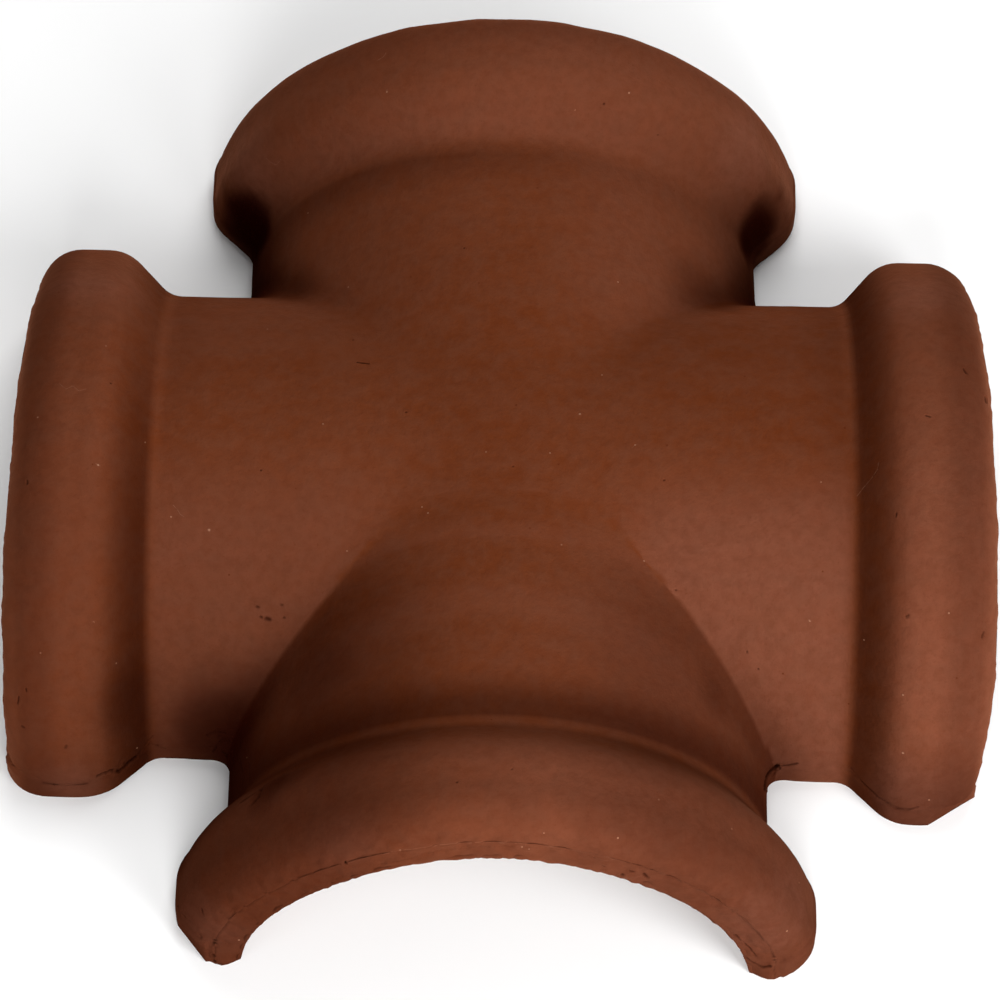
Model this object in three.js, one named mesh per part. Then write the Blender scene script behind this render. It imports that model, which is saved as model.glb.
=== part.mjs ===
// Four-way ridge tile: the pressed clay fitting that covers the point where two roof ridges cross.
// Two round barrels of one height cross at a right angle and run into each other along four valleys.
// Each of the four arms ends in a raised round collar, hollow underneath, that covers the plain end
// of the next ridge tile. The whole tile is one shell, open below and at its four mouths.
// Millimetres, +Z up. The origin is on the bed, straight below the middle of the crossing.
import * as THREE from 'three';
import { mergeVertices } from 'three/addons/utils/BufferGeometryUtils.js';

// Barrels
const ARM_RADIUS = 119; // outside of a barrel
const ARM_HEIGHT = 100; // a barrel's crown above the bed
const WALL = 13; // clay, measured square to the surface
const NECK_LENGTH = 28.26; // plain barrel between the crossing's corner and the collar's root
const VALLEY_RADIUS = 10; // round hollow where the barrels meet square on, at the foot
const CROWN_BLEND = 6; // how far apart in depth the barrels still run together at the crown

// Collar, going from its root on the barrel out to the mouth
const COLLAR_RISE = 19.6; // crown of the collar above the barrel
const ROOT_RADIUS = 12.5; // hollow at the collar's root
const FLANK_ANGLE = 45; // degrees, the straight stretch between root and shoulder
const SHOULDER_RADIUS = 20.5; // round over into the crown
const CROWN_LENGTH = 13; // level top
const NOSE_LENGTH = 18; // round over from the crown to the mouth
const MOUTH_RISE = 3.5; // the mouth's outer edge above the barrel

// Band left by the mould around the foot
const BAND_HEIGHT = 10.5; // top of the upright band above the bed
const BAND_STEP = 1.2; // how far the band stands out from the surface above it
const BAND_SLOPE = 1.5; // height over which the surface steps out to the band

// Fineness of the facets
const ROWS = 11; // from the crown down to the band
const VALLEY_COLUMNS = 7;
const ROOT_COLUMNS = 2;
const SHOULDER_COLUMNS = 3;
const NOSE_COLUMNS = 5;
const OFFSET_SAMPLES = 24; // on each side of a place, when the inside is worked out there
const HALVINGS = 40; // of the search for the surface

const AXIS_DROP = ARM_RADIUS - ARM_HEIGHT; // the barrels' axes lie this far below the bed
const HALF_WIDTH = Math.sqrt(ARM_RADIUS ** 2 - AXIS_DROP ** 2); // of a barrel at the bed

// Stretches of the collar's profile along the arm, and its length. On a low collar the two bends
// meet before the flank is that steep, and there is no straight stretch.
const BEND_RADII = ROOT_RADIUS + SHOULDER_RADIUS;
const MEETING_TILT = Math.acos(Math.max(1 - COLLAR_RISE / BEND_RADII, -1));
const FLANK_TILT = Math.min(THREE.MathUtils.degToRad(FLANK_ANGLE), MEETING_TILT);
const FLANK_RISE = COLLAR_RISE - BEND_RADII * (1 - Math.cos(FLANK_TILT));
const FLANK_LENGTH = FLANK_RISE / Math.tan(FLANK_TILT);
const ROOT_LENGTH = ROOT_RADIUS * Math.sin(FLANK_TILT);
const SHOULDER_LENGTH = SHOULDER_RADIUS * Math.sin(FLANK_TILT);
const CROWN_END = NOSE_LENGTH + CROWN_LENGTH;
const SHOULDER_END = CROWN_END + SHOULDER_LENGTH;
const FLANK_END = SHOULDER_END + FLANK_LENGTH;
const COLLAR_LENGTH = FLANK_END + ROOT_LENGTH;
const REACH = HALF_WIDTH + NECK_LENGTH + COLLAR_LENGTH; // from the middle to a mouth

// Height of the outside above the plain barrel, at a distance from the mouth.
function collarRise(fromMouth) {
	if (fromMouth >= COLLAR_LENGTH) return 0;
	if (fromMouth >= FLANK_END) {
		const across = COLLAR_LENGTH - fromMouth;
		return ROOT_RADIUS - Math.sqrt(ROOT_RADIUS ** 2 - across ** 2);
	}
	if (fromMouth >= SHOULDER_END) {
		const rootTop = ROOT_RADIUS * (1 - Math.cos(FLANK_TILT));
		return rootTop + (FLANK_END - fromMouth) * Math.tan(FLANK_TILT);
	}
	if (fromMouth >= CROWN_END) {
		const across = fromMouth - CROWN_END;
		return COLLAR_RISE - SHOULDER_RADIUS + Math.sqrt(SHOULDER_RADIUS ** 2 - across ** 2);
	}
	if (fromMouth >= NOSE_LENGTH) return COLLAR_RISE;
	const toCrown = 1 - Math.max(fromMouth, 0) / NOSE_LENGTH;
	return MOUTH_RISE + (COLLAR_RISE - MOUTH_RISE) * Math.sqrt(1 - toCrown ** 2);
}

function outsideRadius(along) {
	return ARM_RADIUS + collarRise(REACH - Math.abs(along));
}

// The inside lies one wall away from the outside, square to the surface: it is the lower edge of
// all the balls of that radius whose middles lie on the outside.
function insideRadius(along) {
	let radius = Infinity;
	for (let i = -OFFSET_SAMPLES; i <= OFFSET_SAMPLES; i++) {
		const shift = (WALL * i) / OFFSET_SAMPLES;
		const place = Math.abs(along) + shift;
		if (place > REACH) continue;
		radius = Math.min(radius, outsideRadius(place) - Math.sqrt(WALL ** 2 - shift ** 2));
	}
	return radius;
}

const OUTSIDE = { radiusAt: outsideRadius, valleyRadius: VALLEY_RADIUS };
const INSIDE = { radiusAt: insideRadius, valleyRadius: VALLEY_RADIUS + WALL };

// Depth of a point below one of the two surfaces of the crossing barrels, rounded where they meet.
// The rounding is soft at the crown, where the valleys run out, and like a fillet at the foot.
function depth(point, { radiusAt, valleyRadius }) {
	const height = point.z + AXIS_DROP;
	const alongX = radiusAt(point.x) - Math.hypot(point.y, height);
	const alongY = radiusAt(point.y) - Math.hypot(point.x, height);
	const squareness = 1 - Math.min(height / ARM_RADIUS, 1) ** 2;
	const footBlend = 4 * (1 - Math.SQRT1_2) * valleyRadius;
	const blend = THREE.MathUtils.lerp(CROWN_BLEND, footBlend, squareness ** 2);
	const overlap = Math.max(blend - Math.abs(alongX - alongY), 0);
	return Math.max(alongX, alongY) + overlap ** 2 / (4 * blend);
}

// Where the line that pointAt follows from 0 to farthest leaves the surface, moved out by a step.
function surfacePoint(surface, farthest, pointAt, step = 0) {
	let inner = 0;
	let outer = farthest;
	for (let i = 0; i < HALVINGS; i++) {
		const middle = (inner + outer) / 2;
		if (depth(pointAt(middle), surface) + step > 0) inner = middle;
		else outer = middle;
	}
	return pointAt(inner);
}

// Stations along the arm from the collar's root to the mouth, at the ends of the profile's arcs
// and between them.
function collarStations() {
	const stations = [];
	for (let i = 0; i < ROOT_COLUMNS; i++) {
		stations.push(COLLAR_LENGTH - ROOT_RADIUS * Math.sin((FLANK_TILT * i) / ROOT_COLUMNS));
	}
	stations.push(FLANK_END);
	for (let i = SHOULDER_COLUMNS; i > 0; i--) {
		stations.push(CROWN_END + SHOULDER_RADIUS * Math.sin((FLANK_TILT * i) / SHOULDER_COLUMNS));
	}
	stations.push(CROWN_END);
	for (let i = NOSE_COLUMNS; i >= 0; i--) {
		stations.push(NOSE_LENGTH * (1 - Math.cos(((Math.PI / 2) * i) / NOSE_COLUMNS)));
	}
	return stations.map((fromMouth) => REACH - fromMouth);
}

// One skin of the eighth of the tile between the +X axis and the diagonal, as rows of points.
// A row runs from the diagonal out to the mouth. The rows go from the crown down to the first low
// row. Each low row is the surface's outline at one height, moved out by a step.
function skin(surface, lowRows) {
	const stations = collarStations();
	const root = stations[0];
	const farthest = ARM_RADIUS + COLLAR_RISE + VALLEY_RADIUS;

	// A row whose first point is on the diagonal and whose others are at places along the arm.
	const row = (onDiagonal, atPlace) => {
		const points = [onDiagonal];
		for (let i = 1; i < VALLEY_COLUMNS; i++) {
			points.push(atPlace(THREE.MathUtils.lerp(onDiagonal.x, root, i / VALLEY_COLUMNS), i));
		}
		stations.forEach((along, i) => points.push(atPlace(along, VALLEY_COLUMNS + i)));
		return points;
	};
	const lowRow = ({ height, step }) => row(
		surfacePoint(surface, farthest, (t) => new THREE.Vector3(t, t, height), step),
		(along) => surfacePoint(surface, along, (t) => new THREE.Vector3(along, t, height), step),
	);

	const [last, ...lower] = lowRows.map(lowRow);
	const angles = last.map((p) => Math.atan2(p.y, p.z + AXIS_DROP));
	const rows = [];
	for (let j = 0; j < ROWS; j++) {
		const outward = angles.map((angle) => {
			const turn = (angle * j) / ROWS;
			return { across: Math.sin(turn), up: Math.cos(turn) };
		});
		const { across, up } = outward[0];
		rows.push(row(
			surfacePoint(surface, farthest, (t) => new THREE.Vector3(t * across, t * across, t * up - AXIS_DROP)),
			(along, i) => surfacePoint(surface, farthest, (t) => (
				new THREE.Vector3(along, t * outward[i].across, t * outward[i].up - AXIS_DROP)
			)),
		));
	}
	rows.push(last, ...lower);
	return rows;
}

// The triangles between two rows of points. They face the side from which both rows run to the
// right and a lies above b.
function strip(triangles, a, b) {
	for (let i = 0; i + 1 < a.length; i++) {
		triangles.push([a[i], b[i], b[i + 1]], [a[i], b[i + 1], a[i + 1]]);
	}
}

// All the faces of one eighth: the outside, the inside, the mouth's end face and the bed.
function eighth() {
	const bandTop = BAND_HEIGHT + BAND_SLOPE;
	const outside = skin(OUTSIDE, [
		{ height: bandTop, step: 0 },
		{ height: BAND_HEIGHT, step: BAND_STEP },
	]);
	const bandEdge = outside[outside.length - 1];
	outside.push(bandEdge.map((p) => new THREE.Vector3(p.x, p.y, 0)));
	const inside = skin(INSIDE, [
		{ height: bandTop, step: 0 },
		{ height: BAND_HEIGHT, step: 0 },
		{ height: 0, step: 0 },
	]);
	const triangles = [];
	for (let j = 0; j + 1 < outside.length; j++) {
		strip(triangles, outside[j + 1], outside[j]);
		strip(triangles, inside[j], inside[j + 1]);
	}
	const mouthEdge = (rows) => rows.map((row) => row[row.length - 1]);
	strip(triangles, mouthEdge(outside), mouthEdge(inside));
	strip(triangles, inside[inside.length - 1], outside[outside.length - 1]);
	return triangles;
}

// The eighth, mirrored over the diagonal and over both axes, as one closed shell.
function shellGeometry() {
	const triangles = eighth();
	const position = [];
	for (const swapped of [false, true]) {
		for (const sideX of [1, -1]) {
			for (const sideY of [1, -1]) {
				const mirrored = swapped !== (sideX * sideY < 0);
				for (const [a, b, c] of triangles) {
					for (const p of mirrored ? [a, c, b] : [a, b, c]) {
						const [x, y] = swapped ? [p.y, p.x] : [p.x, p.y];
						position.push(x * sideX, y * sideY, p.z);
					}
				}
			}
		}
	}
	const geometry = new THREE.BufferGeometry();
	geometry.setAttribute('position', new THREE.Float32BufferAttribute(position, 3));
	return mergeVertices(geometry);
}

const firedClay = new THREE.MeshStandardMaterial({ color: 0x6b3826, roughness: 0.62, metalness: 0 });

const tile = new THREE.Mesh(shellGeometry(), firedClay);
tile.name = 'four_way_ridge_tile';

const part = new THREE.Group();
part.add(tile);

export default part;
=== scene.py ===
"""Looks of the four-way ridge tile: one shell of brown slipped clay, pressed in a mould and trimmed by hand.

The shell is rebuilt finely from the solid's own sizes, and then settles, wavers and gets its marks.
Shapes are worked out in millimetres, as the solid's are, and Blender's objects are in metres.
"""
import math

import bmesh
import bpy
import numpy as np
from mathutils import Matrix, Vector, noise
from mathutils.bvhtree import BVHTree


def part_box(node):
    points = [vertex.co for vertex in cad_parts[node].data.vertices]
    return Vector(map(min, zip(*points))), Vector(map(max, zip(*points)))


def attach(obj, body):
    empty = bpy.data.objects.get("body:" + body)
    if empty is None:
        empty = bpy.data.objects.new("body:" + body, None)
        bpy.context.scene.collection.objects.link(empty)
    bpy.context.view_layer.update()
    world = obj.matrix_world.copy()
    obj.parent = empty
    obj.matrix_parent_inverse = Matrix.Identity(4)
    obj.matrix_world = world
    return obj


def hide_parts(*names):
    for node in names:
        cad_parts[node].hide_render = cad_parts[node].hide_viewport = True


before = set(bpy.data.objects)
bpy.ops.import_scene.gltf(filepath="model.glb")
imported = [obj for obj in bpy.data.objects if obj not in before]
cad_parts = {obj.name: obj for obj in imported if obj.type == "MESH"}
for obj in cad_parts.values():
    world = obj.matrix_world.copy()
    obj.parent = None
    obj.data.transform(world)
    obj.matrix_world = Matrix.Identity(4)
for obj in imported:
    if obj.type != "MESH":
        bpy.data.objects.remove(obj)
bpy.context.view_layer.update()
NODE = "four_way_ridge_tile"
MM = 0.001
node_low, node_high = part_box(NODE)

# Sizes of the solid, in millimetres
ARM_RADIUS = 119.0
WALL = 13.0
VALLEY_RADIUS = 10.0
CROWN_BLEND = 6.0
COLLAR_RISE = 19.6
ROOT_RADIUS = 12.5
FLANK_TILT = math.radians(45)
SHOULDER_RADIUS = 20.5
CROWN_LENGTH = 13.0
NOSE_LENGTH = 18.0
MOUTH_RISE = 3.5
BAND_TOP = 12.0
BAND_STEP = 1.2
REACH = (node_high.x - node_low.x) / 2 / MM
ARM_HEIGHT = (node_high.z - node_low.z) / MM - COLLAR_RISE
AXIS_DROP = ARM_RADIUS - ARM_HEIGHT

BEND_RISE = (ROOT_RADIUS + SHOULDER_RADIUS) * (1 - math.cos(FLANK_TILT))
CROWN_END = NOSE_LENGTH + CROWN_LENGTH
SHOULDER_END = CROWN_END + SHOULDER_RADIUS * math.sin(FLANK_TILT)
FLANK_END = SHOULDER_END + (COLLAR_RISE - BEND_RISE) / math.tan(FLANK_TILT)
COLLAR_LENGTH = FLANK_END + ROOT_RADIUS * math.sin(FLANK_TILT)

# Fineness of the mesh
ROWS = 38
VALLEY_COLUMNS = 24
ROOT_COLUMNS = 5
FLANK_COLUMNS = 4
SHOULDER_COLUMNS = 6
CROWN_COLUMNS = 4
NOSE_COLUMNS = 10
FOOT_LEVELS = (17.0, 15.2, 13.8, 12.8, 12.0, 11.2, 10.4, 9.4, 8.0, 6.2, 4.2, 2.2, 0.0)
FACE_SPLITS = 4
HALVINGS = 34
INSIDE_PLACE_COUNT = 1401
WALL_SHIFT_COUNT = 97
EDGE_ROUND = 1.1
EDGE_SEGMENTS = 3
EDGE_PROFILE = 0.5
CORNER_DECIMALS = 4


def collar_rise(from_mouth):
    """Height of the outside above the plain barrel, at a distance from the mouth."""
    u = np.maximum(np.asarray(from_mouth, float), 0)
    across_root = np.clip(COLLAR_LENGTH - u, 0, ROOT_RADIUS)
    root = ROOT_RADIUS - np.sqrt(ROOT_RADIUS**2 - across_root**2)
    flank = ROOT_RADIUS * (1 - math.cos(FLANK_TILT)) + (FLANK_END - u) * math.tan(FLANK_TILT)
    across_shoulder = np.clip(u - CROWN_END, 0, SHOULDER_RADIUS)
    shoulder = COLLAR_RISE - SHOULDER_RADIUS + np.sqrt(SHOULDER_RADIUS**2 - across_shoulder**2)
    to_crown = 1 - np.clip(u / NOSE_LENGTH, 0, 1)
    nose = MOUTH_RISE + (COLLAR_RISE - MOUTH_RISE) * np.sqrt(1 - to_crown**2)
    stretches = [u >= COLLAR_LENGTH, u >= FLANK_END, u >= SHOULDER_END, u >= CROWN_END]
    return np.select(stretches, [np.zeros_like(u), root, flank, shoulder], nose)


def outside_radius(along):
    return ARM_RADIUS + collar_rise(REACH - np.abs(along))


def inside_table():
    """Radius of the inside at places along the arm, one wall in from the outside."""
    places = np.linspace(0, REACH, INSIDE_PLACE_COUNT)
    radius = np.full_like(places, np.inf)
    for shift in np.linspace(-WALL, WALL, WALL_SHIFT_COUNT):
        reached = places + shift
        lowered = outside_radius(reached) - math.sqrt(max(WALL**2 - shift**2, 0))
        radius = np.minimum(radius, np.where(reached <= REACH, lowered, np.inf))
    return places, radius


INSIDE_PLACES, INSIDE_RADII = inside_table()


def inside_radius(along):
    return np.interp(np.abs(along), INSIDE_PLACES, INSIDE_RADII)


OUTSIDE = (outside_radius, VALLEY_RADIUS)
INSIDE = (inside_radius, VALLEY_RADIUS + WALL)


def depth(points, surface):
    """Depth of points below one of the two surfaces of the crossing barrels, as in the solid."""
    radius_at, valley_radius = surface
    x, y, height = points[..., 0], points[..., 1], points[..., 2] + AXIS_DROP
    along_x = radius_at(x) - np.hypot(y, height)
    along_y = radius_at(y) - np.hypot(x, height)
    squareness = 1 - np.clip(height / ARM_RADIUS, -1, 1) ** 2
    foot_blend = 4 * (1 - math.sqrt(0.5)) * valley_radius
    blend = CROWN_BLEND + (foot_blend - CROWN_BLEND) * squareness**2
    overlap = np.maximum(blend - np.abs(along_x - along_y), 0)
    return np.maximum(along_x, along_y) + overlap**2 / (4 * blend)


def surface_points(surface, farthest, point_at):
    """Where each line that point_at follows from 0 to farthest leaves the surface."""
    inner, outer = np.zeros_like(farthest), farthest.copy()
    for _ in range(HALVINGS):
        middle = (inner + outer) / 2
        inside = depth(point_at(middle), surface) > 0
        inner, outer = np.where(inside, middle, inner), np.where(inside, outer, middle)
    return point_at(inner)


def collar_stations():
    """Places along the arm from the collar's root to the mouth."""
    root_angles = np.linspace(0, FLANK_TILT, ROOT_COLUMNS, endpoint=False)
    shoulder_angles = np.linspace(FLANK_TILT, 0, SHOULDER_COLUMNS, endpoint=False)
    nose_angles = np.linspace(math.pi / 2, 0, NOSE_COLUMNS + 1)
    from_mouth = np.concatenate([
        COLLAR_LENGTH - ROOT_RADIUS * np.sin(root_angles),
        np.linspace(FLANK_END, SHOULDER_END, FLANK_COLUMNS, endpoint=False),
        CROWN_END + SHOULDER_RADIUS * np.sin(shoulder_angles),
        np.linspace(CROWN_END, NOSE_LENGTH, CROWN_COLUMNS, endpoint=False),
        NOSE_LENGTH * (1 - np.cos(nose_angles)),
    ])
    return REACH - from_mouth


def row_of_places(first, stations):
    """Places along the arm for rows that start on the diagonal at first."""
    shares = np.linspace(0, 1, VALLEY_COLUMNS, endpoint=False)
    crossing = first[:, None] + (stations[0] - first[:, None]) * shares
    return np.concatenate([crossing, np.tile(stations, (len(first), 1))], axis=1)


def skin(surface):
    """Rows of points of one skin of the eighth between +X and the diagonal, crown first."""
    stations = collar_stations()
    levels = np.maximum(np.array(FOOT_LEVELS), BAND_TOP)
    if surface is INSIDE:
        levels = np.array(FOOT_LEVELS)
    reach = np.full(len(levels), ARM_RADIUS + COLLAR_RISE)
    diagonal = surface_points(surface, reach, lambda t: np.stack([t, t, levels], -1))
    along = row_of_places(diagonal[:, 0], stations)
    tall = np.broadcast_to(levels[:, None], along.shape)
    low = surface_points(surface, along, lambda t: np.stack([along, t, tall], -1))
    low[:, 0] = diagonal

    shares = (np.arange(ROWS) / ROWS)[:, None]
    angles = np.arctan2(low[0, :, 1], low[0, :, 2] + AXIS_DROP)[None, :] * shares
    across, up = np.sin(angles), np.cos(angles)
    reach = np.full(ROWS, ARM_RADIUS + COLLAR_RISE)
    diagonal = surface_points(surface, reach, lambda t: np.stack(
        [t * across[:, 0], t * across[:, 0], t * up[:, 0] - AXIS_DROP], -1))
    along = row_of_places(diagonal[:, 0], stations)
    reach = np.full(along.shape, ARM_RADIUS + COLLAR_RISE + VALLEY_RADIUS)
    high = surface_points(surface, reach, lambda t: np.stack(
        [along, t * across, t * up - AXIS_DROP], -1))
    high[:, 0] = diagonal

    low[:, :, 2] = np.array(FOOT_LEVELS)[:, None]
    return np.concatenate([high, low])


def quads(grid):
    """Four-cornered faces of a grid of points, facing the side from which columns run right and rows down."""
    a, b, c, d = grid[:-1, :-1], grid[1:, :-1], grid[1:, 1:], grid[:-1, 1:]
    return np.stack([a, b, c, d], 2).reshape(-1, 4, 3)


def between(first, second, splits):
    """Rows of points from one row to another."""
    shares = np.linspace(0, 1, splits + 1)[:, None, None]
    return first + (second - first) * shares


def shell_faces():
    """Corners and kind of every face of the closed shell: 0 outside, 1 inside, 2 mouth, 3 foot."""
    outside, inside = skin(OUTSIDE), skin(INSIDE)
    kinds = [
        quads(outside[::-1]),
        quads(inside),
        quads(between(outside[:, -1], inside[:, -1], FACE_SPLITS)),
        quads(between(inside[-1], outside[-1], FACE_SPLITS)),
    ]
    corners = np.concatenate(kinds)
    kind = np.repeat(np.arange(len(kinds)), [len(faces) for faces in kinds])
    made, made_kind = [], []
    for swapped in (False, True):
        for side_x in (1, -1):
            for side_y in (1, -1):
                copy = corners[..., [1, 0, 2]] if swapped else corners
                copy = copy * (side_x, side_y, 1)
                mirrored = swapped != (side_x * side_y < 0)
                made.append(copy[:, ::-1] if mirrored else copy)
                made_kind.append(kind)
    return np.concatenate(made), np.concatenate(made_kind)


def shell_mesh():
    """Points and triangles of the closed shell, with its mouth and foot edges rounded."""
    corners, kind = shell_faces()
    keys = np.round(corners.reshape(-1, 3), CORNER_DECIMALS) + 0.0
    points, index = np.unique(keys, axis=0, return_inverse=True)
    bm = bmesh.new()
    layer = bm.faces.layers.int.new("kind")
    verts = [bm.verts.new(p) for p in points]
    for face, face_kind in zip(index.reshape(-1, 4), kind):
        bm.faces.new([verts[i] for i in face])[layer] = int(face_kind)
    edges = [e for e in bm.edges if len({f[layer] for f in e.link_faces}) > 1]
    bmesh.ops.bevel(
        bm, geom=edges, offset=EDGE_ROUND, segments=EDGE_SEGMENTS, profile=EDGE_PROFILE,
        affect="EDGES", clamp_overlap=True,
    )
    bmesh.ops.triangulate(bm, faces=bm.faces)
    bm.verts.index_update()
    points = np.array([v.co for v in bm.verts])
    triangles = np.array([[v.index for v in f.verts] for f in bm.faces])
    bm.free()
    return points, triangles


def normals_of(points, triangles):
    """Unit normals of the points, weighted by the faces around them."""
    a, b, c = points[triangles.T]
    across = np.cross(b - a, c - a)
    normals = np.zeros_like(points)
    for corner in triangles.T:
        np.add.at(normals, corner, across)
    return normals / np.maximum(np.linalg.norm(normals, axis=1), MM)[:, None]


def split_long(points, triangles, chosen, longest):
    """The mesh with every edge between chosen points halved that is longer than longest."""
    edges = np.sort(triangles[:, ((0, 1), (1, 2), (2, 0))], axis=-1).reshape(-1, 2)
    edges, place = np.unique(edges, axis=0, return_inverse=True)
    ends = points[edges]
    cut = chosen[edges].all(1) & (np.linalg.norm(ends[:, 0] - ends[:, 1], axis=1) > longest)
    middle = np.where(cut, len(points) + np.cumsum(cut) - 1, -1)[place].reshape(-1, 3)
    count = (middle >= 0).sum(1)
    only_cut, only_whole = (middle >= 0).argmax(1), (middle < 0).argmax(1)
    turn = np.select([count == 1, count == 2], [only_cut, only_whole + 1])
    order = (np.arange(3) + turn[:, None]) % 3
    a, b, c = np.take_along_axis(triangles, order, 1).T
    ab, bc, ca = np.take_along_axis(middle, order, 1).T
    one, two, three = count == 1, count == 2, count == 3
    parts = [
        (count == 0, a, b, c),
        (one, a, ab, c), (one, ab, b, c),
        (two, ab, b, bc), (two, a, ab, bc), (two, a, bc, c),
        (three, a, ab, ca), (three, ab, b, bc), (three, ca, bc, c), (three, ab, bc, ca),
    ]
    split = np.concatenate([np.stack([i, j, k], 1)[here] for here, i, j, k in parts])
    return np.concatenate([points, ends[cut].mean(1)]), split


# How each arm settled while the clay dried, in millimetres. Pairs are its left and its right side,
# as seen walking out along the arm. Shift moves the arm to its left, spread opens its sides, swell
# pushes the mouth's sides outward, tuck draws the collar's feet in, and toe draws the points of
# the mouth's feet out. Reach slides the collar to the mouth, crown does so for its top alone, and
# lift raises the middle of the mouth.
STILL = {
    "shift": 0.0, "spread": (0.0, 0.0), "swell": (0.0, 0.0), "tuck": (0.0, 0.0), "toe": (0.0, 0.0),
    "reach": 0.0, "crown": 0.0, "lift": 0.0,
}
ARM_SETTLING = {
    "right": STILL | {"turns": 0, "spread": (0.0, 3.8), "swell": (-3.0, 1.6), "tuck": (0.0, 5.0)},
    "back": STILL | {"turns": 1, "shift": 2.2, "reach": 2.6},
    "left": STILL | {"turns": 2, "spread": (-2.8, 0.0), "swell": (2.7, -2.0)},
    "front": STILL | {"turns": 3, "crown": 2.4, "lift": 3.0, "toe": (4.5, 6.0), "tuck": (1.0, 0.5)},
}
ARM_START = 70.0
ARM_SETTLED = 150.0
SIDE_FULL = 90.0
MOUTH_ZONE = 60.0
LIFT_WIDTH = 50.0
LIFT_HAUNCH = 1.5
CROWN_CENTRE = 34.0
CROWN_WIDTH = 16.0
TUCK_HEIGHT = 62.0
TOE_HEIGHT = 16.0
TOE_PLACE = 116.5
TOE_WIDTH = 9.0
TOE_LENGTH = 26.0


def ease(value, start, end):
    share = np.clip((value - start) / (end - start), 0, 1)
    return share * share * (3 - 2 * share)


def quarter_turn(points, turns):
    cos, sin = round(math.cos(turns * math.pi / 2)), round(math.sin(turns * math.pi / 2))
    x, y = points[:, 0], points[:, 1]
    return np.stack([x * cos - y * sin, x * sin + y * cos, points[:, 2]], 1)


def settle(points):
    """The points moved as the clay moved before it was fired."""
    moved = points.copy()
    for arm in ARM_SETTLING.values():
        local = quarter_turn(points, -arm["turns"])
        along, across, height = local.T
        settled = ease(along, ARM_START, ARM_SETTLED)
        at_mouth = ease(along, REACH - MOUTH_ZONE, REACH)
        sides = ease(across, 0, SIDE_FULL), ease(-across, 0, SIDE_FULL)
        low = 1 - ease(height, 0, TUCK_HEIGHT)
        toe = ease(along, REACH - TOE_LENGTH, REACH) * (1 - ease(height, 0, TOE_HEIGHT))
        toe = toe * np.exp(-(((np.abs(across) - TOE_PLACE) / TOE_WIDTH) ** 2))
        top = np.exp(-(((REACH - along - CROWN_CENTRE) / CROWN_WIDTH) ** 2))
        middle = np.exp(-((across / LIFT_WIDTH) ** 2))

        out = arm["reach"] * ease(along, ARM_SETTLED - ARM_START, ARM_SETTLED)
        out = out + arm["crown"] * top * settled
        aside = arm["shift"] * settled
        for side, sign, place in ((0, 1, sides[0]), (1, -1, sides[1])):
            out = out + place * at_mouth * (arm["swell"][side] - arm["tuck"][side] * low)
            out = out + arm["toe"][side] * toe * (across * sign > 0)
            aside = aside + sign * arm["spread"][side] * place * settled
        lift = arm["lift"] * middle - LIFT_HAUNCH * (1 - middle) * (arm["lift"] > 0)
        up = at_mouth * lift * np.clip(height / ARM_HEIGHT, 0, 1)
        moved += quarter_turn(np.stack([out, aside, up], 1), arm["turns"])
    return moved


# Unevenness of the hand-pressed and hand-trimmed clay, in millimetres
LUMP_SIZE = 42.0
LUMP_HEIGHT = 0.35
RIPPLE_SIZE = 11.0
RIPPLE_HEIGHT = 0.07
TRIM_SIZE = 17.0
TRIM_HEIGHT = 0.75
TRIM_ZONE = 7.0
NICK_SIZE = 4.0
NICK_HEIGHT = 0.55
NICK_ZONE = 3.0
NICK_FRONT = 1.8
EDGE_FINENESS = 2.2
BAND_WAVE = 1.6
BAND_WAVE_SIZE = 30.0
BAND_LINE = 11.2
BAND_SLOPE = 0.7
NOTCH_DEPTH = 0.6
NOTCH_WIDTH = 0.9
NOTCH_SHARE = 0.5
NOTCH_VARIES = 0.9
LEAST_LEAN = 0.2
# Each noise has a seed of its own, which moves it by so many steps
SEED_STEP = (7.31, 3.17, 5.73)
LUMP_SEED = 1
RIPPLE_SEED = 2
TRIM_SEED = 3
BAND_SEED = 4
NOTCH_SEED = 5
NICK_SEED = 6
MARK_SEED = 7
TEAR_SEED = 8
PAINTED_SPOT_SEED = 9


def noise_at(points, size, seed):
    """Smooth noise from -1 to 1 at each point."""
    offset = Vector([step * seed for step in SEED_STEP])
    return np.array([noise.noise(Vector(p) / size + offset) for p in points])


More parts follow.
